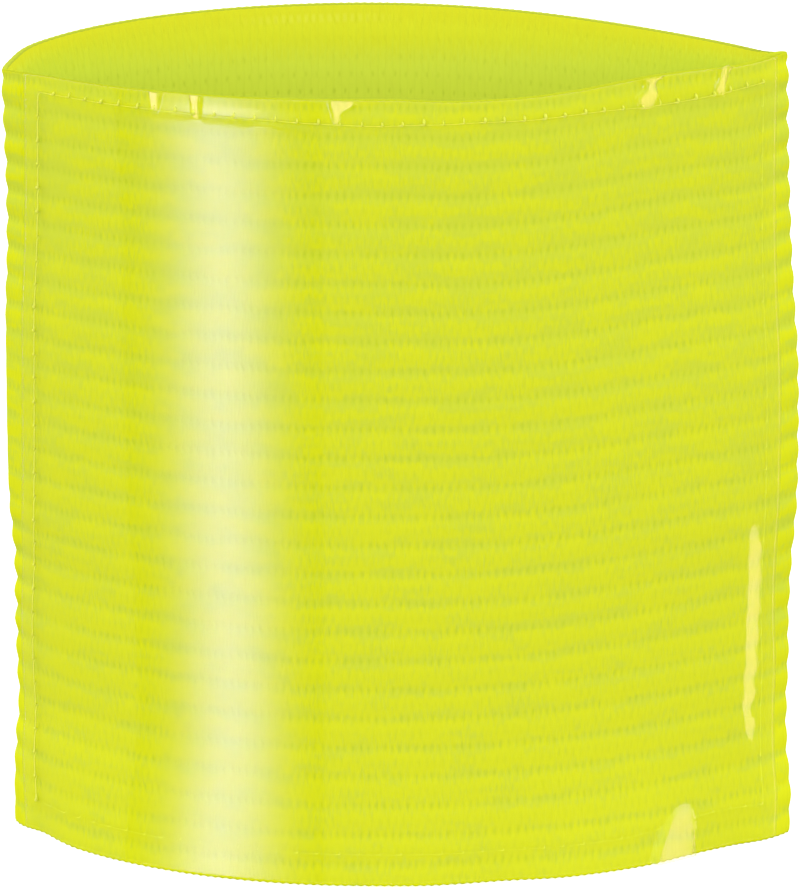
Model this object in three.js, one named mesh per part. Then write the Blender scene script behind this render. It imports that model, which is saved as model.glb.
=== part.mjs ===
import * as THREE from 'three';

// Elastic armband with a clear window: a hollow loop of ribbed knitted elastic that stands open on its
// lower edge, and a clear vinyl sheet sewn over its front. Millimetres, +Z up, the window faces -Y.
// The origin is on the surface it stands on, under the middle of the loop.

// Band
const BAND_HEIGHT = 102;
const WALL = 1.9; // crest of a rib to the inner face
const RIB_COUNT = 27;
const RIB_DEPTH = 0.45;
const CREST_SHARE = 0.5; // part of a rib's height that its crest takes

// Window
const WINDOW_THICKNESS = 0.5;
const WINDOW_GAP = 0.35; // clear of the rib crests
const WINDOW_FOOT = 0.5; // lower edge above the surface
const WINDOW_INSET_LEFT = 2.4; // edges in from the two folds
const WINDOW_INSET_RIGHT = 2.2;

// The deepest part of the loop lies left of its middle, and the folds lie a little behind it
const CROWN_X = -6.35;
const FOLD_Y = 0.1;

// How far the loop reaches from the origin, at shares of the height
const REACH = [
  { share: 0.0, left: 49.4, right: 49.9, front: 24.5, rear: 25.1 },
  { share: 0.2, left: 48.8, right: 48.9, front: 24.2, rear: 25.1 },
  { share: 0.45, left: 49.9, right: 50.3, front: 23.8, rear: 25.2 },
  { share: 0.7, left: 50.0, right: 49.5, front: 23.4, rear: 25.2 },
  { share: 1.0, left: 50.3, right: 48.4, front: 22.9, rear: 25.2 },
];

// How each quarter of the plan turns into its fold: 1 is an ellipse, more draws it to a point
const QUARTER_DRAW = { frontLeft: 1.58, frontRight: 1.68, rearLeft: 1.35, rearRight: 2.44 };

// A layer of the wall moves in more at a fold than along the sides, so that the wall stays even
const FOLD_SPREAD = { left: 1.1, right: 1.6 };

// The upper edge sags at the left fold and rides up along the front right; around is in degrees from
// the right fold, 90 at the rear and 270 at the front
const RIM = [
  { around: 0, lift: 0.9 },
  { around: 15, lift: 0.4 },
  { around: 30, lift: 0.7 },
  { around: 60, lift: 0.3 },
  { around: 90, lift: -0.4 },
  { around: 150, lift: -0.8 },
  { around: 180, lift: -1.9 },
  { around: 210, lift: -1.4 },
  { around: 240, lift: -0.2 },
  { around: 270, lift: 0.5 },
  { around: 292.5, lift: 0.1 },
  { around: 315, lift: 1.3 },
  { around: 337.5, lift: 0.8 },
  { around: 360, lift: 0.9 },
];

// Mesh
const COLUMNS = 48;

// Value of a table's column between two rows
function between(table, key, at, column) {
  let row = 1;
  while (row < table.length - 1 && table[row][key] < at) row += 1;
  const low = table[row - 1];
  const high = table[row];
  const part = (at - low[key]) / (high[key] - low[key]);
  return low[column] + (high[column] - low[column]) * part;
}

function drawOf(toLeft, toFront) {
  if (toFront) return toLeft ? QUARTER_DRAW.frontLeft : QUARTER_DRAW.frontRight;
  return toLeft ? QUARTER_DRAW.rearLeft : QUARTER_DRAW.rearRight;
}

// Height of a share of the band, under its own stretch of the upper edge
function heightAt(around, share) {
  return share * (BAND_HEIGHT + between(RIM, 'around', around, 'lift'));
}

// Point of the loop: around in degrees, share of the height, and offset outwards from the rib crests
function loopPoint(around, share, offset) {
  const angle = THREE.MathUtils.degToRad(around);
  const toLeft = Math.cos(angle) < 0;
  const toFront = Math.sin(angle) < 0;
  const fold = toLeft
    ? between(REACH, 'share', share, 'left') + CROWN_X + offset * FOLD_SPREAD.left
    : between(REACH, 'share', share, 'right') - CROWN_X + offset * FOLD_SPREAD.right;
  const side = toFront
    ? -between(REACH, 'share', share, 'front') - FOLD_Y - offset
    : between(REACH, 'share', share, 'rear') - FOLD_Y + offset;
  const x = CROWN_X + fold * Math.cos(angle);
  const y = FOLD_Y + side * Math.abs(Math.sin(angle)) ** drawOf(toLeft, toFront);
  return [x, y, heightAt(around, share)];
}

// Solid through a row of closed sections, each going up its outer side and down its inner side.
// A closed row joins its last section to its first, and an open one is capped at both ends.
function gridGeometry(lines, closed) {
  const width = lines[0].length;
  const index = [];
  const joins = closed ? lines.length : lines.length - 1;
  for (let line = 0; line < joins; line += 1) {
    const next = (line + 1) % lines.length;
    for (let step = 0; step < width; step += 1) {
      const a = line * width + step;
      const b = line * width + ((step + 1) % width);
      const c = next * width + ((step + 1) % width);
      const d = next * width + step;
      index.push(a, d, c, a, c, b);
    }
  }
  if (!closed) {
    const last = (lines.length - 1) * width;
    for (let step = 1; step < width / 2; step += 1) {
      const outerLow = step - 1;
      const outerHigh = step;
      const innerHigh = width - 1 - step;
      const innerLow = width - step;
      index.push(outerLow, outerHigh, innerHigh, outerLow, innerHigh, innerLow);
      index.push(last + outerLow, last + innerHigh, last + outerHigh);
      index.push(last + outerLow, last + innerLow, last + innerHigh);
    }
  }
  const geometry = new THREE.BufferGeometry();
  geometry.setAttribute('position', new THREE.Float32BufferAttribute(lines.flat(2), 3));
  geometry.setIndex(index);
  geometry.computeVertexNormals();
  return geometry;
}

// The wall's section at one place around the loop: up the ribs, over the upper edge, down the inner face
function bandSection(around) {
  const section = [];
  for (let rib = 0; rib < RIB_COUNT; rib += 1) {
    const crestStart = rib + (1 - CREST_SHARE) / 2;
    section.push(loopPoint(around, rib / RIB_COUNT, -RIB_DEPTH));
    section.push(loopPoint(around, crestStart / RIB_COUNT, 0));
    section.push(loopPoint(around, (crestStart + CREST_SHARE) / RIB_COUNT, 0));
  }
  section.push(loopPoint(around, 1, -RIB_DEPTH));
  for (const row of [...REACH].reverse()) {
    section.push(loopPoint(around, row.share, -WALL));
  }
  return section;
}

function elasticBand() {
  const sections = [];
  for (let column = 0; column < COLUMNS; column += 1) {
    sections.push(bandSection((360 * column) / COLUMNS));
  }
  return gridGeometry(sections, true);
}

// Place around the loop where the front stands a given way in from a fold
function aroundAtInset(inset, toLeft) {
  const middle = REACH[2];
  const arm = toLeft ? middle.left + CROWN_X : middle.right - CROWN_X;
  const angle = THREE.MathUtils.radToDeg(Math.acos(1 - inset / arm));
  return toLeft ? 180 + angle : 360 - angle;
}

// The window's section at one place around the loop: up its outer face and down its inner face
function windowSection(around) {
  const outer = [];
  const inner = [];
  for (const row of REACH) {
    const share = Math.max(row.share, WINDOW_FOOT / BAND_HEIGHT);
    outer.push(loopPoint(around, share, WINDOW_GAP + WINDOW_THICKNESS));
    inner.unshift(loopPoint(around, share, WINDOW_GAP));
  }
  return [...outer, ...inner];
}

function clearWindow() {
  const start = aroundAtInset(WINDOW_INSET_LEFT, true);
  const end = aroundAtInset(WINDOW_INSET_RIGHT, false);
  const columnStep = 360 / COLUMNS;
  const places = [start];
  for (let around = Math.ceil(start / columnStep) * columnStep; around < end; around += columnStep) {
    places.push(around);
  }
  places.push(end);
  return gridGeometry(places.map(windowSection), false);
}

const elasticMaterial = new THREE.MeshStandardMaterial({ color: 0xd6e228, roughness: 0.85, metalness: 0 });
const vinylMaterial = new THREE.MeshStandardMaterial({
  color: 0xe9f0a0,
  roughness: 0.15,
  metalness: 0,
  transparent: true,
  opacity: 0.3,
});

function namedMesh(name, geometry, material) {
  const mesh = new THREE.Mesh(geometry, material);
  mesh.name = name;
  return mesh;
}

const armband = new THREE.Group();
armband.add(namedMesh('elastic_band', elasticBand(), elasticMaterial));
armband.add(namedMesh('clear_window', clearWindow(), vinylMaterial));

export default armband;
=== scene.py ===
import itertools
import math

import bpy
import numpy as np
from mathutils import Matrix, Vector


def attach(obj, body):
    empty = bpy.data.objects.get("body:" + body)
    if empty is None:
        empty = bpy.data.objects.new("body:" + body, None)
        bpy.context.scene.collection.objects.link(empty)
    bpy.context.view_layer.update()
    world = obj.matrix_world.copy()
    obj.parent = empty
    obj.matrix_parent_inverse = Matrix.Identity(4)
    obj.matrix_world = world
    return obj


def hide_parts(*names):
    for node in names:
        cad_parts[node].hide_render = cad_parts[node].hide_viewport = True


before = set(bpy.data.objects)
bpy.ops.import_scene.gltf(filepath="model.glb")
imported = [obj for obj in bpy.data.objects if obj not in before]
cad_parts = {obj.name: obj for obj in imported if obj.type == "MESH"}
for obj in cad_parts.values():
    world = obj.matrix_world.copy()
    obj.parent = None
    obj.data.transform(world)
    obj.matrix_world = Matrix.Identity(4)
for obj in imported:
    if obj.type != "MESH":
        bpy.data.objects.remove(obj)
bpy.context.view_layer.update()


def table(names, *rows):
    """A short table: rows of values, under the names of its columns."""
    return [dict(zip(names.split(), row, strict=True)) for row in rows]


# The object is worked out in millimetres and made in metres
MM = 0.001

# Elastic band: the part's own sizes, with shallower ribs and a finer upper edge
BAND_HEIGHT = 102.0
WALL = 1.9  # crest of a rib to the inner face
RIB_COUNT = 27
RIB_DEPTH = 0.12  # along the sides, with more where the band bends round a fold
RIB_FOLD_REACH = 6.0  # width of the bell over which it does
RIB_PHASE = 0.26  # part of a rib by which the lower edge cuts into the first one
CROWN_X = -6.35  # the loop is deepest left of its middle
FOLD_Y = 0.1  # and its folds lie a little behind it
# How far the loop reaches from the origin
REACH = table(
    "share left right front rear",
    (0.0, 49.4, 49.9, 24.5, 25.1),
    (0.2, 48.8, 48.9, 24.2, 25.1),
    (0.45, 49.9, 50.3, 23.8, 25.2),
    (0.7, 50.0, 49.5, 23.4, 25.2),
    (1.0, 50.3, 48.4, 22.9, 25.2),
)
# How the folds wander off the plain line, and how deep the ribs are on them
FOLDS = table(
    "share left right left_ribs right_ribs",
    (0.0, 0.1, -0.2, 0.1, 0.24), (0.06, 0.38, 0.26, 0.14, 0.24), (0.1, 0.48, 0.1, 0.35, 0.26),
    (0.16, 0.2, 0.25, 0.24, 0.24), (0.22, 0.45, 0.48, 0.3, 0.24), (0.28, 0.4, 0.15, 0.45, 0.24),
    (0.36, 0.02, -0.08, 0.38, 0.24), (0.42, 0.18, 0.05, 0.2, 0.24), (0.47, 0.17, 0.12, 0.03, 0.24),
    (0.62, 0.25, 0.45, 0.03, 0.24), (0.68, 0.3, 0.25, 0.15, 0.24), (0.76, 0.03, 0.06, 0.25, 0.26),
    (0.84, -0.03, 0.04, 0.33, 0.33), (0.92, 0.12, 0.18, 0.32, 0.42), (1.0, 0.33, 0.38, 0.3, 0.4),
)
# How far the lower edge comes forward, dying away over a share of the height
FOOT_SHARE = 0.25
FOOT_FORWARD = table(
    "around forward",
    (0, 2.2), (40, 0.0), (150, 0.0), (180, 1.4), (197, 1.3),
    (205, 0.3), (211, 1.2), (218, 1.8), (240, 1.4), (255, 1.0),
    (270, 0.95), (281, 1.3), (290, 1.0), (301, 2.0), (313, 1.8),
    (322, 0.7), (330, 0.8), (341, 2.2), (360, 2.2),
)
# How each quarter turns into its fold: 1 is an ellipse, more draws it to a point
QUARTER_DRAW = {"front_left": 1.58, "front_right": 1.68, "rear_left": 1.35, "rear_right": 2.44}
FOLD_SPREAD = {"left": 1.1, "right": 1.6}  # how much further an offset moves a fold
# The upper edge, by degrees round the loop: 90 at the rear, 180 at the left fold and 270 at the front
RIM = table(
    "around lift",
    (0, 0.9), (15, 0.4), (30, 0.5), (60, 0.1), (90, -0.45),
    (150, -1.0), (161, -1.3), (169, -2.05), (180, -2.5), (190, -2.0),
    (200, -1.5), (211, -0.85), (225, -0.3), (240, 0.25), (255, 0.62),
    (270, 0.85), (277, 0.8), (285, 0.38), (292.5, 0.38), (300, 0.65),
    (315, 1.5), (322, 1.4), (330, 1.0), (337.5, 0.95), (347, 1.2),
    (360, 0.9),
)

# Knit
WALES = 231  # columns of loops round the band
STEPS_PER_WALE = 2  # mesh columns in each
ROWS_PER_RIB = 6
INNER_ROWS = 30
FACE_ROWS = 205  # the faces on which the window and the thread are laid
FACE_COLUMNS = 700
EDGE_TURNS = 5  # mesh rows over the upper edge
EDGE_ROLL = 0.2  # how far the upper edge rounds up between its two faces
EDGE_TOOTH = {"rim": 0.06, "foot": 0.2}  # how far the loops of an edge stand out
EDGE_TAPER = 6.0  # the wall grows thinner over this height, up to its upper edge
TAPER_POWER = 1.5
OUTER_TAPER = 0.05
INNER_TAPER = 1.2
EDGE_DROP = 0.1  # the knit's edge under the window's own
ANGLE_STEPS = 7201  # angles at which the distance round the loop is worked out
FOLD_SOFTNESS = 0.9  # width of the bell over which the folds are eased
SOFTNESS_WIDTHS = 3  # and how many such widths it reaches to each side
CORNER_LIFT = 0.35  # the sharper fold's upper corner stands up
CORNER_WIDTH = 1.6
CORNER_DROP = 0.95  # and is rounded off at its tip
CORNER_TIP = 0.75
CORNER_DEPTH = 2.5  # height over which it dies away

# Clear window. A place is a distance round the front from the middle of its left edge.
WINDOW_THICKNESS = 0.2
WINDOW_REST = 0.15  # its inner face off the rib crests
WINDOW_CLEAR = 0.1  # and the crests pressed in under it
WINDOW_INSET_LEFT = 2.4
WINDOW_INSET_ARM = 49.9  # reach of the left fold that this is measured from
WINDOW_FOOT = 0.5
WINDOW_COLUMNS = 290
WINDOW_ROWS = 165
PUCKER_CROWD = 3.5  # how much closer its mesh columns are at the puckers
PUCKER_CROWD_WIDTH = 1.6
CROWD_STEPS = 4  # steps for each column in which this is worked out
WINDOW_CROWD = 0.13  # how much closer its mesh rows are at the hems
HEM_LEFT = 2.9  # seam in from the window's edge
HEM_RIGHT = 2.5
COVER_EASE = 2.0  # width over which the knit feels the window's edge

# Sewing: the four seams, and where the window's edges stand beside them
SEAM_TOP = table(
    "place below",
    (3.5, 2.05), (17.0, 2.15), (28.0, 2.3), (36.0, 2.5), (44.0, 2.9),
    (52.0, 3.15), (58.5, 2.8), (64.0, 2.6), (73.0, 2.75), (79.0, 2.85),
    (89.0, 3.6), (95.0, 3.4), (101.0, 2.8), (105.0, 2.6),
)
SEAM_FOOT = table(
    "place above",
    (2.0, 4.4), (82.0, 4.2), (97.0, 5.2), (105.0, 4.9),
)
SEAM_LEFT = table(
    "height place",
    (2.0, 2.1), (18.0, 1.2), (31.0, 1.4), (45.0, 2.8), (72.0, 3.5),
    (100.0, 4.7),
)
SEAM_RIGHT = table(
    "height place",
    (2.0, 104.4), (18.0, 104.6), (45.0, 103.7), (71.0, 103.9), (100.0, 104.8),
)
SEAM_PINCH = 0.03  # how far a seam draws both layers in
SEAM_WIDTH = 0.8
SEAM_LEAN = 0.27  # and how far it draws the window in on a wider strip beside it
LEAN_WIDTH = {"top": 8.5, "foot": 45.0}
SIDE_EASE = 9.0
HEM_SQUEEZE = 0.16  # how much further in the sewn hem is at its edge
HEM_EASE = 5.0
STITCH_PITCH = 2.65
SIDE_STITCH_PITCH = 3.2
# Needle thread: its radius where a stitch turns into its hole and on the run between, where it is drawn in
# to the window, and how far the end of a stitch turns
THREAD = {
    "top": {"full": 0.2, "run": 0.03, "hook": 0.68},
    "foot": {"full": 0.035, "run": 0.006, "hook": 0.25},
    "left": {"full": 0.2, "run": 0.08, "hook": 0.4},
    "right": {"full": 0.035, "run": 0.008, "hook": 0.25},
}
THREAD_UNDER = 0.08  # radius of the bobbin thread on the inner face
UNDER_SINK = 0.4  # and the part of it that lies in the knit
THREAD_SIDES = 8
THREAD_CAP = [[0, 1, 2, 3], [0, 3, 4, 7], [7, 4, 5, 6]]  # quads over an end of eight sides
THREAD_STEPS = 12
STITCH_SINK = 0.3
STITCH_SPREAD = 0.12  # how uneven the holes are
STITCH_LEAST = 0.35  # and part of the full thickness and length of the smallest turn
RUN_PART = 0.64  # part of a stitch's mesh that runs along the seam, before its end turns
SINK_PART = 0.15  # and parts that sink at its two ends
HAND = np.random.default_rng(7)

# Puckers, where the window's free edge flares out between stitches: their two sides, by height
RIM_PUCKERS = [table("height left right", *rows) for rows in (
    [(99.5, 22.5, 23.5), (102.0, 22.4, 24.0)],
    [(98.9, 28.15, 29.2), (101.2, 28.1, 29.4), (102.0, 28.0, 29.6)],
    [
        (98.7, 46.4, 46.7), (99.7, 46.1, 46.95), (100.5, 45.9, 47.4),
        (101.0, 45.75, 48.3), (101.4, 45.7, 48.9), (102.0, 45.65, 49.1),
    ],
    [
        (97.9, 86.3, 87.6), (98.7, 85.8, 88.1), (99.6, 85.6, 88.4), (100.3, 86.1, 88.3),
        (100.9, 86.6, 88.0), (101.3, 86.6, 88.0), (101.7, 86.1, 88.7), (102.0, 85.9, 89.1),
    ],
    [(98.3, 96.9, 98.3), (100.4, 97.1, 98.6), (101.5, 97.3, 99.0), (102.0, 97.0, 99.3)],
)]
FOOT_PUCKERS = [table(
    "height left right",
    (0.0, 87.3, 93.3), (1.5, 87.8, 93.4), (2.8, 88.3, 93.4), (4.2, 89.1, 93.5),
    (5.6, 90.1, 93.4), (6.7, 91.6, 93.1), (7.2, 92.4, 92.8),
)]
RIM_FLARE = 0.36  # slope of a pucker
FOOT_FLARE = 0.21
PUCKER_EASE = 0.25
PUCKER_RISE = 0.33  # how far a flare stands up, for each millimetre out
TAB = {"place": 98.2, "width": 0.8, "from": 98.6, "rise": 0.4}  # one pucker stands up further

# A fine crease under the upper seam
CREASE = {"place": 37.4, "reach": 2.0, "height": 98.7, "bow": 0.45, "width": 0.3, "fade": 0.8, "rise": 0.065}

# A loose ridge down the window beside its right seam
RIDGE = table(
    "height place",
    (8.0, 102.3), (13.0, 101.6), (17.0, 100.6), (21.0, 100.55), (25.0, 100.75),
    (33.0, 100.85), (45.0, 99.7),
)
RIDGE_SPAN = (11.0, 43.0)  # heights between which it has more than half its rise
RIDGE_RISE = 0.6
RIDGE_WIDTH = 1.85
RIDGE_EASE = 11.0
RIDGE_BEAD = 0.12  # how unevenly it lies over the ribs
RIDGE_SCALLOP = 0.13  # and how much its width comes and goes

# Colours, as light reflected
KNIT_YELLOW = (0.669, 0.704, 0.004, 1)
KNIT_GREEN = (0.569, 0.655, 0.036, 1)
KNIT_DEEP = (0.395, 0.54, 0.014, 1)
KNIT_BARE = (0.62, 0.70, 0.14, 1)  # mixed in where no window lies over the knit
# Inner face colours from the rim down: painted shade, turning greener deeper into the loop where less light
# reaches
INNER_TOP = (0.64, 0.64, 0.023, 1)
INNER_MID = (0.69, 0.705, 0.029, 1)
INNER_LOW_SHADE = (0.70, 0.785, 0.078, 1)
# Colour of the inner ticks and wale lines, which also gives the painted shade at the narrower ends
INNER_MARKS_AND_SHADE = (0.48, 0.59, 0.04, 1)
INNER_PALE = (0.74, 0.76, 0.10, 1)
EDGE_COLOUR = (0.42, 0.475, 0.04, 1)
EDGE_FRONT = (0.46, 0.515, 0.02, 1)  # the edge's colour along the front, where it stands out less
EDGE_BAND = 0.06  # height of the edge's own colour on each face
EDGE_LINES = (174, 186)  # degrees round the loop between which it turns into that of the front
THREAD_COLOUR = (0.76, 0.81, 0.07, 1)
THREAD_SHADE = (0.68, 0.74, 0.035, 1)
VINYL_COLOUR = (0.60, 0.66, 0.010, 1)
VINYL_ALPHA = 0.20
VINYL_SHINE = 1.0
WHITE = (1, 1, 1, 1)
BLACK = (0, 0, 0, 1)

# Pattern of the knit: detail of its noises, their scale round the band and up it, and how far it wanders
BROAD_DETAIL = 2.0
FINE_DETAIL = 3.0
WANDER_SCALE = (0.4, 0.4)
PATCH_SCALE = (0.16, 0.55)
OUTER_FIBRES = (4.0, 0.7)
INNER_FIBRES = (4.0, 0.6)
OUTER_WANDER = 0.8
INNER_WANDER = 0.5
RIB_WANDER = 0.16

# Ticks: half sizes in wales and courses, the random row they draw on, and how dark and how deep they are
GROOVE_TICKS = {"wide": 0.42, "high": 0.21, "draw": 1.0, "dark": 0.55, "relief": -0.06}
CREST_TICKS = {"wide": 0.34, "high": 0.3, "draw": 2.0, "dark": 0.3, "relief": -0.025}
BRICK_TICKS = {"wide": 0.2, "high": 0.28, "draw": 3.0, "dark": 0.45, "relief": -0.05}
TICK_LEAST = 0.5  # strength of the weakest
BRICK_RISE = 2.27  # courses of ticks on the inner face, and wales from one tick to the next
BRICK_WALES = 1.5

# How dark the lines between wales are and how thin, the relief of yarns and fibres, and the roughness
OUTER_YARN = {"dark": 0.05, "thin": 3.0, "yarn": 0.02, "fibre": 0.035}
INNER_YARN = {"dark": 0.1, "thin": 2.0, "yarn": 0.03, "fibre": 0.05}
KNIT_ROUGHNESS = 0.75
FIBRE_ROUGHNESS = 0.2

# What turns the outer knit from green to yellow, and the turns at which it is all green and all yellow
FIBRE_TURN = 1.1
FIBRE_BARE = 0.6  # how much less its fibres turn it where it is bare
RIB_TURN = 0.08  # more on a crest and less in a groove
KNIT_TURN = 0.2  # more at the lower edge than at the upper one
HEM_TURN = 0.12  # more from the first of these heights, and all of it from the second
HEM_LINES = (98.0, 100.0)
TURN_LINES = (0.33, 0.63)
BARE_PART = 0.07  # how much of its own colour is mixed into bare knit
BARE_EVEN = 0.7  # part of the dark pattern that is lost there, seen aslant
BARE_EASE = 1.0

# Depths below the rim at which the inner face's painted shade comes in (its colours turning greener, and
# darker at the narrower ends), and its ticks
INNER_UNEVEN = 3.0
MID_LINES = (0.5, 3.5)
LOW_LINES = (4.0, 9.0)
TICK_LINES = (4.0, 13.0)
END_LINES = (0.0, 3.0)
NARROW_FROM = 25.2  # painted shade: deeper in the loop the knit is shaded sooner and darker nearer than this to its long middle line
NARROW_SHADE_SHIFT = 0.21  # and for each millimetre nearer the painted shade comes so much sooner and is so much darker
NARROW_SHADE_DARK = 0.028

# A short row of pale loops under the rear of the rim: distances at which they are gone and full, each way
PALE_LOOPS = {
    "below": 1.6, "around": 97, "part": 0.3, "high": (0.8, 0.2), "wide": (0.45, 0.1), "long": (13.0, 3.0),
}

# Vinyl and thread: the size of their grain, and its part in their roughness and relief
VINYL_GRAIN = 6.0
VINYL_ROUGHNESS = 0.07
GRAIN_ROUGHNESS = 0.05
GRAIN_RELIEF = 0.004
THREAD_TWIST = 0.35
THREAD_ROUGHNESS = 0.45
TWIST_RELIEF = 0.03

# Camera and light
CAMERA_AZIMUTH = 2.0
CAMERA_ELEVATION = 18.0
CAMERA_DISTANCE = 1.836
CAMERA_LENS = 587.0
CAMERA_AIM = (-0.0002, 0.0, 0.0507)
CAMERA_FAR = 50
SKY_STRENGTH = 1.6  # light from above, and from below the surface it stands on
GROUND_STRENGTH = 0.64
SKY_EDGE = 0.08  # height over which one turns into the other, as a share of the way up
FLOOR_SIZE = 8
FLOOR_COLOUR = (0.95, 0.95, 0.95, 1)
FLOOR_ROUGHNESS = 0.9
FLOOR_GLOW = 0.4

# Lit cards that show only as reflections, on a ball round the object: middle and half sizes in degrees,
# and the part of each half size that fades out; a fade of None is a bell as wide as the half size
CARDS = table(
    "name azimuth elevation half_wide half_high fade_wide fade_high strength colour",
    ("sheen", -36.5, -15.5, 12.2, 13, None, 0.4, 13.0, (0.55, 0.44, 1.0)),
    ("right_strip", 107.5, -18, 11, 14.5, 0.12, 0.3, 6.3, (1.0, 0.58, 0.62)),
    ("low_left_card", -55, -43, 14, 9, 0.15, 0.15, 14.0, (1.0, 0.54, 0.65)),
    ("low_card", -4.5, -44, 10, 9.5, 0.15, 0.15, 11.5, (1.0, 0.58, 0.6)),
    ("low_right_card", 65, -44.5, 8.5, 9.5, 0.15, 0.15, 9.5, (1.0, 0.53, 0.5)),
    ("far_right_card", 83, -39.5, 7.5, 8, 0.15, 0.15, 9.5, (1.0, 0.53, 0.5)),
    ("high_card", 70.5, 10.5, 13.5, 11.5, 0.1, 0.1, 6.9, (0.87, 0.4, 0.85)),
)
CARD_DISTANCE = 1.0
CARD_COLUMNS = 48
CARD_ROWS = 32
BELL_REACH = 2.3  # widths of a bell that its card holds


def smooth_slopes(places, values):
    """Slopes of a smooth line through a table's rows, level at its highs and lows."""
    steps = np.diff(values) / np.diff(places)
    slopes = np.zeros(len(values))
    same_way = steps[1:] * steps[:-1] > 0
    slopes[1:-1] = np.where(same_way, (steps[1:] + steps[:-1]) / 2, 0)
    slopes[0], slopes[-1] = steps[0], steps[-1]
    return slopes


def between(rows, column, at):
    """Value of a table's column on a smooth line through its rows, at a place in its first column."""
    key = next(iter(rows[0]))
    places = np.array([row[key] for row in rows], float)
    values = np.array([row[column] for row in rows], float)
    slopes = smooth_slopes(places, values)
    at = np.clip(np.asarray(at, float), places[0], places[-1])
    low = np.clip(np.searchsorted(places, at, side="right") - 1, 0, len(places) - 2)
    width = places[low + 1] - places[low]
    t = (at - places[low]) / width
    start, end = values[low], values[low + 1]
    ease = t * t * (3 - 2 * t)
    bow = t * (1 - t) * ((1 - t) * slopes[low] - t * slopes[low + 1]) * width
    return start + (end - start) * ease + bow


def bell(distance, width):
    return np.exp(-((distance / width) ** 2))


def in_span(value, low, high, ease):
    """1 between low and high, easing to 0 outside."""
    rise = np.clip((value - low) / ease + 0.5, 0, 1)
    fall = np.clip((high - value) / ease + 0.5, 0, 1)
    both = np.minimum(rise, fall)
    return both * both * (3 - 2 * both)


def loop_point(around, share, offset):
    """Points of the loop: around in degrees from the right fold, share of the height, offset outwards."""
    around, share, offset = np.broadcast_arrays(around, share, offset)
    angle = np.radians(around)
    to_left = np.cos(angle) < 0
    to_front = np.sin(angle) < 0
    left = between(REACH, "left", share) + between(FOLDS, "left", share)
    left = left + CROWN_X + offset * FOLD_SPREAD["left"]
    right = between(REACH, "right", share) + between(FOLDS, "right", share)
    right = right - CROWN_X + offset * FOLD_SPREAD["right"]
    front = between(REACH, "front", share) + FOLD_Y + offset
    rear = between(REACH, "rear", share) - FOLD_Y + offset
    front_draw = np.where(to_left, QUARTER_DRAW["front_left"], QUARTER_DRAW["front_right"])
    rear_draw = np.where(to_left, QUARTER_DRAW["rear_left"], QUARTER_DRAW["rear_right"])
    turn = np.abs(np.sin(angle))
    x = CROWN_X + np.where(to_left, left, right) * np.cos(angle)
    y = FOLD_Y + np.where(to_front, -front * turn ** front_draw, rear * turn ** rear_draw)
    low = np.clip(1 - share / FOOT_SHARE, 0, 1) ** 2
    y = y - low * between(FOOT_FORWARD, "forward", np.mod(around, 360))
    z = share * (BAND_HEIGHT + between(RIM, "lift", np.mod(around, 360)))
    return np.stack([x, y, z], axis=-1)


# Distance round the loop at mid height, from the right fold past the rear and the left fold
ROUND_ANGLES = np.linspace(0, 360, ANGLE_STEPS)
ROUND_POINTS = loop_point(ROUND_ANGLES, 0.5, 0.0)[:, :2]
ROUND_STEPS = np.linalg.norm(np.diff(ROUND_POINTS, axis=0), axis=1)
ROUND_LENGTHS = np.concatenate([[0], np.cumsum(ROUND_STEPS)])
LOOP_LENGTH = ROUND_LENGTHS[-1]


def around_at(length):
    """Degrees round the loop at a distance round it."""
    return np.interp(length, ROUND_LENGTHS, ROUND_ANGLES)


def length_at(around):
    return np.interp(around, ROUND_ANGLES, ROUND_LENGTHS)


# Distance round the loop to the window's left edge, which stands a little in from the left fold
WINDOW_START = length_at(180 + math.degrees(math.acos(1 - WINDOW_INSET_LEFT / (WINDOW_INSET_ARM + CROWN_X))))


def out_to_reach(x, reach_left, reach_right):
    """Moves eased rows out again, so that their folds reach as far as before."""
    left = (reach_left - CROWN_X) / (x.min(axis=1, keepdims=True) - CROWN_X)
    right = (reach_right - CROWN_X) / (x.max(axis=1, keepdims=True) - CROWN_X)
    return CROWN_X + (x - CROWN_X) * np.where(x < CROWN_X, left, right)


def ring(shares, offset, columns):
    """Rows of points round the whole loop with their folds eased, and the way out at each point."""
    lengths = np.arange(columns) * LOOP_LENGTH / columns
    points = loop_point(around_at(lengths)[None, :], shares[:, None], offset)
    spacing = LOOP_LENGTH / columns
    reach = int(SOFTNESS_WIDTHS * FOLD_SOFTNESS / spacing)
    steps = np.arange(-reach, reach + 1)
    weights = np.exp(-0.5 * (steps * spacing / FOLD_SOFTNESS) ** 2)
    weights /= weights.sum()
    plan = sum(weight * np.roll(points[..., :2], step, axis=1) for step, weight in zip(steps, weights))
    full_left = points[..., 0].min(axis=1, keepdims=True)
    full_right = points[..., 0].max(axis=1, keepdims=True)
    plan[..., 0] = out_to_reach(plan[..., 0], full_left, full_right)
    along = np.roll(plan, -1, axis=1) - np.roll(plan, 1, axis=1)
    along /= np.linalg.norm(along, axis=-1, keepdims=True)
    out = np.stack([along[..., 1], -along[..., 0], np.zeros(along.shape[:2])], axis=-1)
    from_fold = np.minimum(lengths, LOOP_LENGTH - lengths)
    below_rim = BAND_HEIGHT * (1 - shares)
    corner = CORNER_LIFT * bell(from_fold, CORNER_WIDTH) - CORNER_DROP * bell(from_fold, CORNER_TIP)
    lift = corner[None, :] * bell(below_rim[:, None], CORNER_DEPTH)
    return np.concatenate([plan, (points[..., 2] + lift)[..., None]], axis=-1), out


def face_of_loop(offset):
    """Points and ways out on a fine grid over one face of the whole loop."""
    return ring(np.linspace(0, 1, FACE_ROWS), offset, FACE_COLUMNS)


OUTER_FACE = face_of_loop(0.0)
INNER_FACE = face_of_loop(-WALL)


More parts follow.
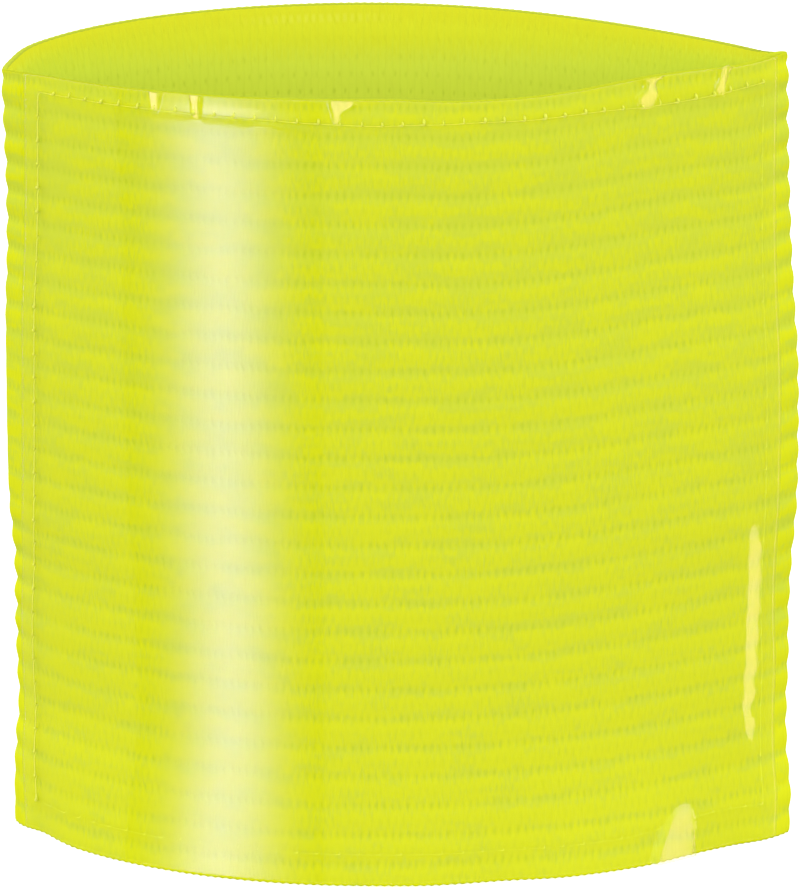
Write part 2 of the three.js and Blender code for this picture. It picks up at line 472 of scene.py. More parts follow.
def on_face(face, place, height, lift):
    """Points over a face at places, heights and lifts outwards from it, with the way out at each."""
    place, height, lift = np.broadcast_arrays(place, height, lift)
    column = (place + WINDOW_START) / LOOP_LENGTH * FACE_COLUMNS
    row = np.clip(height / BAND_HEIGHT, 0, 1) * (FACE_ROWS - 1)
    left, low = np.floor(column).astype(int), np.minimum(row.astype(int), FACE_ROWS - 2)
    across, up = (column - left)[..., None], (row - low)[..., None]
    left, right = left % FACE_COLUMNS, (left + 1) % FACE_COLUMNS
    found = []
    for grid in face:
        lower = grid[low, left] * (1 - across) + grid[low, right] * across
        upper = grid[low + 1, left] * (1 - across) + grid[low + 1, right] * across
        found.append(lower * (1 - up) + upper * up)
    point, out = found
    return point + out * lift[..., None], out


def seam_top(place):
    return BAND_HEIGHT - between(SEAM_TOP, "below", place)


def seam_foot(place):
    return between(SEAM_FOOT, "above", place)


def seam_left(height):
    return between(SEAM_LEFT, "place", height)


def seam_right(height):
    return between(SEAM_RIGHT, "place", height)


def window_sides(height):
    """Places of the window's left and right edges."""
    return seam_left(height) - HEM_LEFT, seam_right(height) + HEM_RIGHT


def beside_seams(place, height, width):
    """1 on the three tighter seams round the window, falling to 0 at a width beside them."""
    across = in_span(place, seam_left(height), seam_right(height), width)
    up = in_span(height, seam_foot(place), seam_top(place), width)
    level = bell(height - seam_top(place), width)
    upright = np.maximum(bell(place - seam_left(height), width), bell(place - seam_right(height), width))
    return np.maximum(level * across, upright * up)


def hem_press(place, height):
    """How far the upper hem is drawn in towards the band's edge."""
    across = in_span(place, *window_sides(height), HEM_EASE)
    hem = BAND_HEIGHT - seam_top(place)
    return across * HEM_SQUEEZE * np.clip((height - seam_top(place)) / hem, 0, 1)


def lean_in(place, height):
    """How far the upper and lower seams draw the window in on the strip beside them, 1 at a seam."""
    at_top = np.clip(1 - (seam_top(place) - height) / LEAN_WIDTH["top"], 0, 1) ** 2
    at_foot = np.clip(1 - (height - seam_foot(place)) / LEAN_WIDTH["foot"], 0, 1) ** 2
    beside = in_span(place, seam_left(height), seam_right(height), SIDE_EASE)
    return 1 - (1 - at_top) * (1 - at_foot) * beside


def pucker(rows, place, height, beyond):
    """How far past its start a pucker has come, within its two sides, in millimetres."""
    left = between(rows, "left", height)
    right = between(rows, "right", height)
    return np.clip(beyond, 0, None) * in_span(place, left, right, PUCKER_EASE)


def puckers(place, height):
    """How far the window's flared edges stand out."""
    total = np.zeros(np.broadcast(place, height).shape)
    for rows in RIM_PUCKERS:
        total += RIM_FLARE * pucker(rows, place, height, height - rows[0]["height"])
    for rows in FOOT_PUCKERS:
        total += FOOT_FLARE * pucker(rows, place, height, rows[-1]["height"] - height)
    return total


def flare_rise(place, height):
    """How far the window's flared edges stand up."""
    beyond = np.clip((height - TAB["from"]) / (BAND_HEIGHT - TAB["from"]), 0, 1)
    tab = TAB["rise"] * beyond * bell(place - TAB["place"], TAB["width"])
    return PUCKER_RISE * puckers(place, height) * (height > BAND_HEIGHT / 2) + tab


def ridge(place, height):
    """How far the window's loose ridge stands out."""
    length = in_span(height, *RIDGE_SPAN, RIDGE_EASE)
    groove = np.cos(2 * np.pi * (height * RIB_COUNT / BAND_HEIGHT + RIB_PHASE))
    width = RIDGE_WIDTH * (1 - RIDGE_SCALLOP * groove)
    beside = place - between(RIDGE, "place", height)
    return RIDGE_RISE * length * (1 - RIDGE_BEAD * groove) * bell(beside, width)


def crease(place, height):
    """How far the window's fine crease stands out."""
    beside = (place - CREASE["place"]) / CREASE["reach"]
    line = CREASE["height"] - CREASE["bow"] * beside ** 2
    return CREASE["rise"] * bell(height - line, CREASE["width"]) * bell(beside, CREASE["fade"])


def window_lift(place, height):
    """How far the window's inner face stands off the rib crests."""
    lift = WINDOW_REST + SEAM_LEAN * (1 - lean_in(place, height))
    lift -= SEAM_PINCH * beside_seams(place, height, SEAM_WIDTH) + hem_press(place, height)
    return lift + puckers(place, height) + ridge(place, height) + crease(place, height)


def mesh_object(name, points, faces, materials, corner_uvs=None, face_materials=None, smooth=True):
    """An object from points in millimetres, quads and a UV for each corner."""
    mesh = bpy.data.meshes.new(name)
    faces = np.asarray(faces, np.int32)
    mesh.vertices.add(len(points))
    mesh.vertices.foreach_set("co", (np.asarray(points) * MM).astype(np.float32).ravel())
    mesh.loops.add(faces.size)
    mesh.loops.foreach_set("vertex_index", faces.ravel())
    mesh.polygons.add(len(faces))
    mesh.polygons.foreach_set("loop_start", np.arange(0, faces.size, faces.shape[1], dtype=np.int32))
    mesh.polygons.foreach_set("use_smooth", np.broadcast_to(smooth, len(faces)).tolist())
    if face_materials is not None:
        mesh.polygons.foreach_set("material_index", np.asarray(face_materials, np.int32))
    if corner_uvs is not None:
        uv_map = mesh.uv_layers.new(name="knit")
        uv_map.data.foreach_set("uv", np.asarray(corner_uvs, np.float32).ravel())
    for material in materials:
        mesh.materials.append(material)
    mesh.update(calc_edges=True)
    mesh.validate()
    piece = bpy.data.objects.new(name, mesh)
    bpy.context.scene.collection.objects.link(piece)
    return piece


def rib_relief(share):
    """0 in the grooves between ribs and 1 on their crests."""
    swell = np.abs(np.sin(np.pi * (share * RIB_COUNT + RIB_PHASE)))
    return 0.5 * (swell + swell ** 2)


def under_window(place, height):
    """1 where the window covers the band, easing to 0 at its edges."""
    return in_span(place, *window_sides(height), COVER_EASE)


def rib_depth(place, height):
    """Depth of the ribs, with its own amount where the band bends round a fold."""
    share = height / BAND_HEIGHT
    from_right = np.abs(np.mod(place + WINDOW_START + LOOP_LENGTH / 2, LOOP_LENGTH) - LOOP_LENGTH / 2)
    from_left = np.abs(place + WINDOW_START - length_at(180))
    left = (between(FOLDS, "left_ribs", share) - RIB_DEPTH) * bell(from_left, RIB_FOLD_REACH)
    right = (between(FOLDS, "right_ribs", share) - RIB_DEPTH) * bell(from_right, RIB_FOLD_REACH)
    return RIB_DEPTH + left + right


def edge_taper(height):
    """0 to 1 over the last of the height, where the wall grows thinner to its upper edge."""
    return np.clip(1 - (BAND_HEIGHT - height) / EDGE_TAPER, 0, 1) ** TAPER_POWER


def outer_offset(place, height):
    """How far the band's outer face stands off its crests: ribs, sewing and the thin upper edge."""
    ribs = rib_depth(place, height) * (1 - rib_relief(height / BAND_HEIGHT))
    press = SEAM_PINCH * beside_seams(place, height, SEAM_WIDTH) + hem_press(place, height)
    press = press + OUTER_TAPER * edge_taper(height)
    return -ribs - press - WINDOW_CLEAR * under_window(place, height)


def band_rows(columns):
    """Rows of the band's section up the ribs, over the upper edge and down the inner face.

    Gives their points, their heights on the knit and which face each belongs to.
    """
    place = (np.arange(columns) * LOOP_LENGTH / columns)[None, :] - WINDOW_START
    steps = np.arange(RIB_COUNT * ROWS_PER_RIB + ROWS_PER_RIB) - RIB_PHASE * ROWS_PER_RIB
    outer_shares = np.unique(np.clip(steps / (RIB_COUNT * ROWS_PER_RIB), 0, 1))
    outer, out = ring(outer_shares, 0.0, columns)
    outer = outer + out * outer_offset(place, outer_shares[:, None] * BAND_HEIGHT)[..., None]
    inner_shares = np.linspace(1, 0, INNER_ROWS + 1)
    inner, out = ring(inner_shares, -WALL, columns)
    inner = inner + out * (INNER_TAPER * edge_taper(inner_shares[:, None] * BAND_HEIGHT))[..., None]
    drop = EDGE_DROP * under_window(place, BAND_HEIGHT)
    outer[-1, :, 2] -= drop[0]
    inner[0, :, 2] -= drop[0]
    over = []
    for turn in range(1, EDGE_TURNS + 1):
        angle = math.pi * turn / (EDGE_TURNS + 1)
        across = (1 - math.cos(angle)) / 2
        row = outer[-1] + (inner[0] - outer[-1]) * across
        row[:, 2] += EDGE_ROLL * math.sin(angle)
        over.append(row)
    points = np.concatenate([outer, over, inner])
    heights = np.concatenate([outer_shares, np.ones(EDGE_TURNS), inner_shares]) * BAND_HEIGHT
    sides = np.concatenate([np.zeros(len(outer_shares)), np.ones(EDGE_TURNS + len(inner_shares))])
    return points, heights, sides


def elastic_band(outer, inner):
    columns = WALES * STEPS_PER_WALE
    points, heights, sides = band_rows(columns)
    count = len(heights)
    tooth = np.arange(columns) % STEPS_PER_WALE
    points[heights >= BAND_HEIGHT, :, 2] -= EDGE_TOOTH["rim"] * tooth
    points[heights <= 0, :, 2] += EDGE_TOOTH["foot"] * tooth
    row, column = np.indices((count, columns))
    step = LOOP_LENGTH / columns
    faces, uvs = [], []
    for up, on in ((0, 0), (0, 1), (1, 1), (1, 0)):
        corner_row = (row + up) % count
        faces.append(corner_row * columns + (column + on) % columns)
        uvs.append(np.stack([(column + on) * step, heights[corner_row]], axis=-1))
    faces, uvs = np.stack(faces, axis=-1).reshape(-1, 4), np.stack(uvs, axis=-2).reshape(-1, 2)
    points, sides = points.reshape(-1, 3), np.repeat(sides, columns)
    piece = mesh_object("elastic_knit", points, faces, [outer, inner], uvs, sides)
    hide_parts("elastic_band")
    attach(piece, "root")


def window_grid():
    """Places and heights of the window's mesh points, in rows that are closer at its hems."""
    even = np.linspace(0, 1, WINDOW_ROWS)[:, None]
    crowded = even - WINDOW_CROWD * np.sin(2 * np.pi * even)
    height = WINDOW_FOOT + (BAND_HEIGHT - WINDOW_FOOT) * crowded
    left, right = window_sides(height)
    share = np.linspace(0, 1, CROWD_STEPS * WINDOW_COLUMNS)
    crowd = np.ones(len(share))
    for tables, row in ((RIM_PUCKERS, -1), (FOOT_PUCKERS, 0)):
        for rows in tables:
            middle = np.mean([(row_at["left"] + row_at["right"]) / 2 for row_at in rows])
            beside = left[row] + (right[row] - left[row]) * share - middle
            crowd += PUCKER_CROWD * bell(beside, PUCKER_CROWD_WIDTH)
    filled = np.concatenate([[0], np.cumsum((crowd[1:] + crowd[:-1]) / 2)])
    share = np.interp(np.linspace(0, filled[-1], WINDOW_COLUMNS), filled, share)
    place = left + (right - left) * share[None, :]
    return place, np.broadcast_to(height, place.shape)


def clear_window(material):
    place, height = window_grid()
    lift = window_lift(place, height)
    outer, out = on_face(OUTER_FACE, place, height, lift + WINDOW_THICKNESS)
    inner, out = on_face(OUTER_FACE, place, height, lift)
    rise = flare_rise(place, height)
    outer[..., 2] += rise
    inner[..., 2] += rise
    rows, columns = place.shape
    points = np.concatenate([outer.reshape(-1, 3), inner.reshape(-1, 3)])
    row, column = np.indices((rows - 1, columns - 1))
    a = (row * columns + column).ravel()
    b, c, d = a + 1, a + columns + 1, a + columns
    back = rows * columns
    foot = np.arange(columns - 1)
    top = foot + (rows - 1) * columns
    left = np.arange(rows - 1) * columns
    right = left + columns - 1
    corners = (
        (a, b, c, d),
        (a + back, d + back, c + back, b + back),
        (foot, foot + back, foot + 1 + back, foot + 1),
        (top, top + 1, top + 1 + back, top + back),
        (left, left + columns, left + columns + back, left + back),
        (right, right + back, right + columns + back, right + columns),
    )
    faces = [np.stack(four, axis=-1) for four in corners]
    smooth = np.arange(sum(map(len, faces))) < 2 * len(a)
    piece = mesh_object("window_sheet", points, np.concatenate(faces), [material], smooth=smooth)
    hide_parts("clear_window")
    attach(piece, "root")
    piece.visible_shadow = False
    piece.visible_diffuse = False


def tube(path, out, radius):
    """Rings of points round a path, with the ways out beside it, and the faces that join and close them."""
    along = np.gradient(path, axis=0)
    along /= np.linalg.norm(along, axis=1, keepdims=True)
    beside = np.cross(along, out)
    beside /= np.linalg.norm(beside, axis=1, keepdims=True)
    over = np.cross(beside, along)
    turn = np.arange(THREAD_SIDES) * 2 * math.pi / THREAD_SIDES
    ring_way = beside[:, None] * np.cos(turn)[None, :, None] + over[:, None] * np.sin(turn)[None, :, None]
    points = path[:, None] + ring_way * radius[:, None, None]
    row, side = np.indices((len(path) - 1, THREAD_SIDES))
    next_side = (side + 1) % THREAD_SIDES
    low, high = row * THREAD_SIDES, (row + 1) * THREAD_SIDES
    walls = np.stack([low + side, high + side, high + next_side, low + next_side], axis=-1).reshape(-1, 4)
    cap = np.array(THREAD_CAP)
    end = cap[:, ::-1] + (len(path) - 1) * THREAD_SIDES
    return points.reshape(-1, 3), np.concatenate([walls, cap, end])


def stitch_holes(start, end, pitch):
    """Places of needle holes from one end of a seam to the other, a little uneven."""
    count = int(round((end - start) / pitch))
    holes = start + (end - start) * np.arange(count + 1) / count
    holes[1:-1] += STITCH_SPREAD * HAND.uniform(-1, 1, count - 1)
    return holes


# Distances round the loop at the left fold, between which the edge's colour turns into that of the front
FRONT_LINES = [float(length_at(around)) for around in EDGE_LINES]

# Distances round the loop between which the window covers the knit
WINDOW_LINES = [float(WINDOW_START + place) for place in window_sides(BAND_HEIGHT / 2)]

STITCH_PARTS = np.linspace(0, 1, THREAD_STEPS)
STITCH_RUN = np.clip(STITCH_PARTS / RUN_PART, 0, 1)
STITCH_TURN = np.clip((STITCH_PARTS - RUN_PART) / (1 - RUN_PART), 0, 1)


def stitches(line, start, end, hook, upright):
    """Places and heights along each stitch of a seam: a run, then a turn up or to the left into its hole."""
    pitch, turn_way = (SIDE_STITCH_PITCH, -1) if upright else (STITCH_PITCH, 1)
    for first, last in itertools.pairwise(stitch_holes(start, end, pitch)):
        if upright:
            first, last = last, first
        along = first + (last - first) * STITCH_RUN
        beside = line(along) + turn_way * hook * HAND.uniform(STITCH_LEAST, 1) * STITCH_TURN
        yield (beside, along) if upright else (along, beside)


def all_stitches():
    """Places and heights along every stitch, with the sizes of its seam's thread."""
    left_foot, left_top = SEAM_LEFT[0]["place"], SEAM_LEFT[-1]["place"]
    right_foot, right_top = SEAM_RIGHT[0]["place"], SEAM_RIGHT[-1]["place"]
    seams = (
        (THREAD["top"], seam_top, left_top, right_top, False),
        (THREAD["foot"], seam_foot, left_foot, right_foot, False),
        (THREAD["left"], seam_left, seam_foot(left_foot), seam_top(left_top), True),
        (THREAD["right"], seam_right, seam_foot(right_foot), seam_top(right_top), True),
    )
    for thread, line, start, end, upright in seams:
        for place, height in stitches(line, start, end, thread["hook"], upright):
            yield place, height, thread


def sewing_thread(material):
    """The needle thread over the window and the bobbin thread on the inner face, stitch by stitch."""
    points, faces = [], []
    count = 0
    ends = np.clip(np.minimum(STITCH_PARTS, 1 - STITCH_PARTS) / SINK_PART, 0, 1)
    sunk = STITCH_SINK * (1 - ends) ** 2
    even = np.full(THREAD_STEPS, THREAD_UNDER)
    turning = np.clip((STITCH_PARTS - RUN_PART) / SINK_PART + 1, 0, 1)
    # All the holes are drawn before the first thickness is
    for place, height, thread in list(all_stitches()):
        full = thread["full"] * HAND.uniform(STITCH_LEAST, 1)
        radius = thread["run"] + (full - thread["run"]) * turning
        lift = window_lift(place, height) + WINDOW_THICKNESS + thread["run"] - sunk
        over = on_face(OUTER_FACE, place, height, lift)
        lift = INNER_TAPER * edge_taper(height) - THREAD_UNDER * UNDER_SINK + sunk
        under = on_face(INNER_FACE, place, height, lift)
        for (path, out), thick in ((over, radius), (under, even)):
            rings, joins = tube(path, out, thick)
            points.append(rings)
            faces.append(joins + count)
            count += len(rings)
    piece = mesh_object("seam_thread", np.concatenate(points), np.concatenate(faces), [material])
    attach(piece, "root")


class Recipe:
    """A material in the making, with short ways to add its nodes."""

    def __init__(self, name):
        self.material = bpy.data.materials.new(name)
        self.material.use_nodes = True
        self.nodes = self.material.node_tree.nodes
        self.links = self.material.node_tree.links
        self.shader = self.nodes["Principled BSDF"]

    def new(self, kind):
        return self.nodes.new("ShaderNode" + kind)

    def put(self, socket, value):
        """A socket takes another's output or a value."""
        if isinstance(value, bpy.types.NodeSocket):
            self.links.new(value, socket)
        else:
            socket.default_value = value

    def fill(self, node, **inputs):
        """Puts values or links into a node's inputs."""
        for name, value in inputs.items():
            self.put(node.inputs[name], value)

    def set(self, name, value):
        self.put(self.shader.inputs[name], value)

    def math(self, operation, *values):
        node = self.new("Math")
        node.operation = operation
        for socket, value in zip(node.inputs, values):
            self.put(socket, value)
        return node.outputs["Value"]

    def times(self, value, other):
        return self.math("MULTIPLY", value, other)

    def add(self, total, *parts):
        """A total with values added to it, each times its own amount."""
        for value, amount in parts:
            total = self.math("MULTIPLY_ADD", value, amount, total)
        return total

    def swing(self, noise, width):
        """A noise as a swing to both sides of zero."""
        return self.math("MULTIPLY_ADD", noise, width, -width / 2)

    def apart(self, value, other):
        return self.math("ABSOLUTE", self.math("SUBTRACT", value, other))

    def split(self, vector):
        """The outputs X, Y and Z of a vector."""
        node = self.new("SeparateXYZ")
        self.put(node.inputs["Vector"], vector)
        return node.outputs

    def object_place(self):
        return self.new("TexCoord").outputs["Object"]

    def vector(self, x, y, z=0.0):
        node = self.new("CombineXYZ")
        for socket, value in zip(node.inputs, (x, y, z)):
            self.put(socket, value)
        return node.outputs["Vector"]

    def fade(self, value, zero_at, one_at):
        """0 to 1 as a value goes from one bound to the other."""
        node = self.new("MapRange")
        node.interpolation_type = "SMOOTHSTEP"
        self.put(node.inputs["Value"], value)
        node.inputs["From Min"].default_value = zero_at
        node.inputs["From Max"].default_value = one_at
        return node.outputs["Result"]

    def noise(self, vector, detail, scale=1.0):
        node = self.new("TexNoise")
        self.fill(node, Vector=vector, Scale=scale, Detail=detail)
        return node.outputs["Fac"]

    def chance(self, vector):
        """An even random number for each whole-number vector."""
        node = self.new("TexWhiteNoise")
        self.put(node.inputs["Vector"], vector)
        return node.outputs["Value"]

    def blend(self, part, colour, other):
        node = self.new("Mix")
        node.data_type = "RGBA"
        self.fill(node, Factor=part, A=colour, B=other)
        return node.outputs["Result"]

    def relief(self, height_mm):
        """Bump from a height in millimetres."""
        node = self.new("Bump")
        self.fill(node, Height=height_mm, Distance=MM)
        self.set("Normal", node.outputs["Normal"])


class Knit(Recipe):
    """A face of the knit in the making: the place on it, its columns of loops and its fibres."""

    def __init__(self, name, wander, fibres):
        super().__init__(name)
        uv = self.new("UVMap")
        uv.uv_map = "knit"
        place = self.split(uv.outputs["UV"])
        self.across, self.up = place["X"], place["Y"]
        self.wander = self.noise_over(WANDER_SCALE, BROAD_DETAIL)
        even_wale = self.times(self.across, WALES / LOOP_LENGTH)
        self.wale = self.math("ADD", even_wale, self.swing(self.wander, wander))
        self.yarn = self.math("ABSOLUTE", self.math("SINE", self.times(self.wale, math.pi)))
        self.fibre = self.noise_over(fibres, FINE_DETAIL)

    def noise_over(self, scale, detail):
        """Noise with its own scale round the band and up it."""
        across, up = scale
        return self.noise(self.vector(self.times(self.across, across), self.times(self.up, up)), detail)

    def between_wales(self, thin):
        return self.math("POWER", self.math("SUBTRACT", 1.0, self.yarn), thin)

    def ticks(self, wale, course, kind):
        """Dashes at whole numbers of wales and courses, each of its own strength."""
        at_wale = self.math("ROUND", wale)
        at_course = self.math("ROUND", course)
        beside = self.fade(self.apart(wale, at_wale), kind["wide"], 0)
        above = self.fade(self.apart(course, at_course), kind["high"], 0)
        strength = self.chance(self.vector(at_wale, at_course, kind["draw"]))
        return self.times(self.times(beside, above), self.add(TICK_LEAST, (strength, 1 - TICK_LEAST)))

    def bare(self):
        """1 where no window lies over the knit."""
        left, right = WINDOW_LINES
        at_left = self.fade(self.across, left + BARE_EASE, left - BARE_EASE)
        at_right = self.fade(self.across, right - BARE_EASE, right + BARE_EASE)
        return self.math("MAXIMUM", at_left, at_right)

    def narrow_shade(self):
        """How much nearer than NARROW_FROM the loop's long middle line is, which sets the painted shade at
        the narrower ends.
        """
        off_middle = self.times(self.math("ABSOLUTE", self.split(self.object_place())["Y"]), 1 / MM)
        return self.math("MAXIMUM", self.math("SUBTRACT", NARROW_FROM, off_middle), 0.0)

    def finish(self, colour, at_edge, height):
        """The face's colour with its upper edge's own, its roughness and its relief."""
        edge = self.blend(self.fade(self.across, *FRONT_LINES), EDGE_COLOUR, EDGE_FRONT)
        self.set("Base Color", self.blend(at_edge, colour, edge))
        self.set("Roughness", self.add(KNIT_ROUGHNESS, (self.fibre, FIBRE_ROUGHNESS)))
        self.set("Specular IOR Level", 0.0)
        self.relief(height)
        return self.material


def outer_turn(knit, rib, bare):
    """How yellow the outer knit is: patches, ribs, fibres and height on the band."""
    groove_way = knit.math("COSINE", knit.times(rib, 2 * math.pi))
    fibre_part = knit.add(FIBRE_TURN, (bare, -FIBRE_BARE))
    fibre_way = knit.times(knit.math("SUBTRACT", knit.fibre, 0.5), fibre_part)
    turn = knit.add(knit.noise_over(PATCH_SCALE, FINE_DETAIL), (groove_way, -RIB_TURN), (fibre_way, 1.0))
    turn = knit.add(turn, (knit.fade(knit.up, *HEM_LINES), HEM_TURN))
    turn = knit.add(knit.math("ADD", turn, KNIT_TURN / 2), (knit.up, -KNIT_TURN / BAND_HEIGHT))
    return knit.fade(turn, *TURN_LINES)


def outer_knit_material():
    """Ribs of upright floats: grooves tied down by small ticks, a fainter row of ticks along each crest."""
    knit = Knit("elastic_outer", OUTER_WANDER, OUTER_FIBRES)
    rib = knit.add(RIB_PHASE, (knit.up, RIB_COUNT / BAND_HEIGHT))
    rib = knit.math("ADD", rib, knit.swing(knit.wander, RIB_WANDER))
    bare = knit.bare()
    groove = knit.ticks(knit.wale, rib, GROOVE_TICKS)
    crest = knit.ticks(knit.math("ADD", knit.wale, 0.5), knit.math("ADD", rib, 0.5), CREST_TICKS)
    dark = knit.add(0.0, (groove, GROOVE_TICKS["dark"]), (crest, CREST_TICKS["dark"]))
    dark = knit.add(dark, (knit.between_wales(OUTER_YARN["thin"]), OUTER_YARN["dark"]))
    dark = knit.times(dark, knit.add(1.0, (bare, -BARE_EVEN)))
    colour = knit.blend(outer_turn(knit, rib, bare), KNIT_GREEN, KNIT_YELLOW)
    colour = knit.blend(knit.math("MINIMUM", dark, 1.0), colour, KNIT_DEEP)
    colour = knit.blend(knit.times(bare, BARE_PART), colour, KNIT_BARE)
    height = knit.add(0.0, (knit.yarn, OUTER_YARN["yarn"]), (knit.fibre, OUTER_YARN["fibre"]))
    height = knit.add(height, (groove, GROOVE_TICKS["relief"]), (crest, CREST_TICKS["relief"]))
    return knit.finish(colour, knit.fade(knit.up, BAND_HEIGHT - EDGE_BAND, BAND_HEIGHT), height)


def pale_loops(knit, depth):
    """A short row of pale loops under the rear of the rim."""
    high = knit.fade(knit.apart(depth, PALE_LOOPS["below"]), *PALE_LOOPS["high"])
    wide = knit.fade(knit.apart(knit.math("FRACT", knit.wale), 0.5), *PALE_LOOPS["wide"])
    middle = float(length_at(PALE_LOOPS["around"]))
    long = knit.fade(knit.apart(knit.across, middle), *PALE_LOOPS["long"])
    return knit.times(knit.times(knit.times(high, wide), long), PALE_LOOPS["part"])


def inner_knit_material():
    """The smoother inner face: fine upright columns with small ticks set like bricks, with painted shade
    that turns it greener deeper in and darker at the narrower ends.
    """
    knit = Knit("elastic_inner", INNER_WANDER, INNER_FIBRES)
    course = knit.times(knit.up, 1 / BRICK_RISE)
    brick = knit.times(knit.wale, 1 / BRICK_WALES)
    odd = knit.times(knit.math("MODULO", knit.math("ROUND", course), 2.0), 0.5)
    bricks = knit.ticks(knit.math("ADD", brick, odd), course, BRICK_TICKS)
    depth = knit.math("SUBTRACT", BAND_HEIGHT, knit.up)
    uneven = knit.add(knit.math("SUBTRACT", depth, INNER_UNEVEN / 2), (knit.fibre, INNER_UNEVEN))
    # Painted shade: the colours below turn greener deeper in, and sooner where the loop is narrower
    narrow_shade = knit.narrow_shade()
    deep_in = knit.add(uneven, (narrow_shade, NARROW_SHADE_SHIFT))
    colour = knit.blend(knit.fade(uneven, *MID_LINES), INNER_TOP, INNER_MID)
    colour = knit.blend(knit.fade(deep_in, *LOW_LINES), colour, INNER_LOW_SHADE)
    low_bricks = knit.times(bricks, knit.fade(deep_in, *TICK_LINES))
    dark = knit.add(0.0, (low_bricks, BRICK_TICKS["dark"]))
    dark = knit.add(dark, (knit.between_wales(INNER_YARN["thin"]), INNER_YARN["dark"]))
    # Painted shade: darker where the loop is narrower, from a little below the rim
    dark = knit.add(dark, (knit.times(narrow_shade, NARROW_SHADE_DARK), knit.fade(depth, *END_LINES)))
    colour = knit.blend(knit.math("MINIMUM", dark, 1.0), colour, INNER_MARKS_AND_SHADE)
    colour = knit.blend(pale_loops(knit, depth), colour, INNER_PALE)
    height = knit.add(0.0, (knit.yarn, INNER_YARN["yarn"]), (knit.fibre, INNER_YARN["fibre"]))
    height = knit.add(height, (bricks, BRICK_TICKS["relief"]))
    return knit.finish(colour, knit.fade(depth, EDGE_BAND, 0.0), height)


def vinyl_material():
    """Clear glossy sheet, so faintly uneven that its reflections waver a little."""
    recipe = Recipe("clear_vinyl")
    grain = recipe.noise(recipe.object_place(), BROAD_DETAIL, 1 / (VINYL_GRAIN * MM))
    recipe.set("Base Color", VINYL_COLOUR)
    recipe.set("Roughness", recipe.add(VINYL_ROUGHNESS, (grain, GRAIN_ROUGHNESS)))
    recipe.set("Alpha", VINYL_ALPHA)
    recipe.set("Specular IOR Level", VINYL_SHINE)
    recipe.relief(recipe.times(grain, GRAIN_RELIEF))
    return recipe.material


def thread_material():
    """Twisted sewing thread, a little brighter than the knit."""
    recipe = Recipe("sewing_thread")
    twist = recipe.new("TexWave")
    twist.bands_direction = "DIAGONAL"
    recipe.fill(twist, Vector=recipe.object_place(), Scale=1 / (THREAD_TWIST * MM))
    recipe.set("Base Color", recipe.blend(twist.outputs["Fac"], THREAD_SHADE, THREAD_COLOUR))
    recipe.set("Roughness", THREAD_ROUGHNESS)
    recipe.relief(recipe.times(twist.outputs["Fac"], TWIST_RELIEF))
    return recipe.material


def floor():
    bpy.ops.mesh.primitive_plane_add(size=FLOOR_SIZE)
    plane = bpy.context.object
    plane.name = "floor"
    recipe = Recipe("pale_floor")
    recipe.set("Base Color", FLOOR_COLOUR)
    recipe.set("Roughness", FLOOR_ROUGHNESS)
    recipe.set("Emission Color", WHITE)
    recipe.set("Emission Strength", FLOOR_GLOW)
    plane.data.materials.append(recipe.material)
    plane.visible_glossy = False
    plane.visible_diffuse = False
    plane.visible_shadow = False


def direction(azimuth, elevation):
    """Ways from the object towards azimuths (0 is -Y, 90 is +X) and elevations, in degrees."""
    azimuth, elevation = np.radians(azimuth), np.radians(elevation)
    level = np.cos(elevation)
    return np.stack([np.sin(azimuth) * level, -np.cos(azimuth) * level, np.sin(elevation)], axis=-1)


def camera():
    data = bpy.data.cameras.new("camera")
    data.lens = CAMERA_LENS
    data.clip_end = CAMERA_FAR
    view = bpy.data.objects.new("camera", data)
    bpy.context.scene.collection.objects.link(view)
    back = Vector(direction(CAMERA_AZIMUTH, CAMERA_ELEVATION))
    view.location = Vector(CAMERA_AIM) + back * CAMERA_DISTANCE
    view.rotation_euler = back.to_track_quat("Z", "Y").to_euler()
    bpy.context.scene.camera = view


def card_glow(beside, fade):
    """Brightness of a card at a share of its half size from the middle."""
    if fade is None:
        return bell(beside, 1.0)
    rise = np.clip((1 - np.abs(beside)) / fade, 0, 1)
    return rise * rise * (3 - 2 * rise)


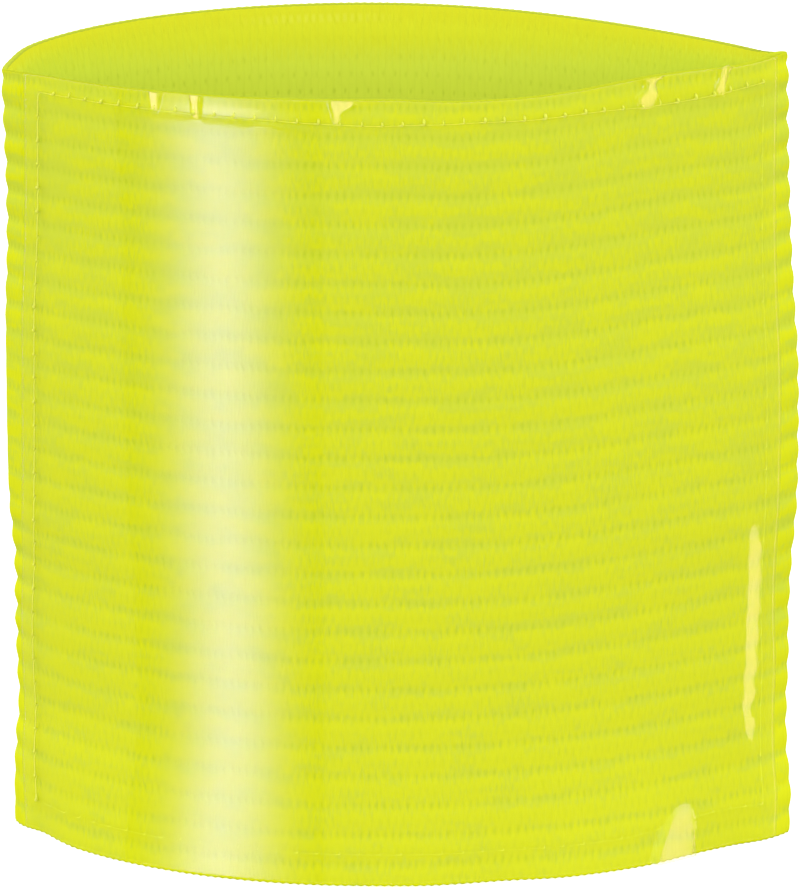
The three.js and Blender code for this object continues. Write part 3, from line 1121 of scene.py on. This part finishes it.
def soft_card(card):
    """A lit card, seen only in reflections."""
    reach = BELL_REACH if card["fade_wide"] is None else 1.0
    beside, above = np.meshgrid(np.linspace(-reach, reach, CARD_COLUMNS), np.linspace(-1, 1, CARD_ROWS))
    azimuth = card["azimuth"] + card["half_wide"] * beside
    elevation = card["elevation"] + card["half_high"] * above
    points = direction(azimuth, elevation).reshape(-1, 3) * CARD_DISTANCE + np.array(CAMERA_AIM)
    row, column = np.indices((CARD_ROWS - 1, CARD_COLUMNS - 1))
    a = (row * CARD_COLUMNS + column).ravel()
    faces = np.stack([a, a + CARD_COLUMNS, a + CARD_COLUMNS + 1, a + 1], axis=-1)
    glow = card_glow(beside, card["fade_wide"]) * card_glow(above, card["fade_high"])
    recipe = Recipe(card["name"])
    recipe.set("Base Color", BLACK)
    recipe.set("Specular IOR Level", 0.0)
    recipe.set("Emission Color", (*card["colour"], 1))
    amount = recipe.new("Attribute")
    amount.attribute_name = "glow"
    recipe.set("Emission Strength", recipe.times(amount.outputs["Fac"], card["strength"]))
    piece = mesh_object(card["name"], points / MM, faces, [recipe.material])
    layer = piece.data.attributes.new("glow", "FLOAT", "POINT")
    layer.data.foreach_set("value", glow.astype(np.float32).ravel())
    piece.visible_camera = False
    piece.visible_diffuse = False
    piece.visible_shadow = False


def sky():
    """Even white light, stronger from above than from below."""
    world = bpy.data.worlds.new("sky")
    bpy.context.scene.world = world
    world.use_nodes = True
    nodes, links = world.node_tree.nodes, world.node_tree.links
    split = nodes.new("ShaderNodeSeparateXYZ")
    links.new(nodes.new("ShaderNodeTexCoord").outputs["Generated"], split.inputs["Vector"])
    strength = nodes.new("ShaderNodeMapRange")
    bounds = {"From Min": -SKY_EDGE, "From Max": SKY_EDGE, "To Min": GROUND_STRENGTH, "To Max": SKY_STRENGTH}
    for name, value in bounds.items():
        strength.inputs[name].default_value = value
    links.new(split.outputs["Z"], strength.inputs["Value"])
    background = nodes["Background"]
    background.inputs["Color"].default_value = WHITE
    links.new(strength.outputs["Result"], background.inputs["Strength"])


def studio():
    sky()
    for card in CARDS:
        soft_card(card)
    floor()
    bpy.context.scene.view_settings.view_transform = "Standard"


camera()
studio()
elastic_band(outer_knit_material(), inner_knit_material())
clear_window(vinyl_material())
sewing_thread(thread_material())
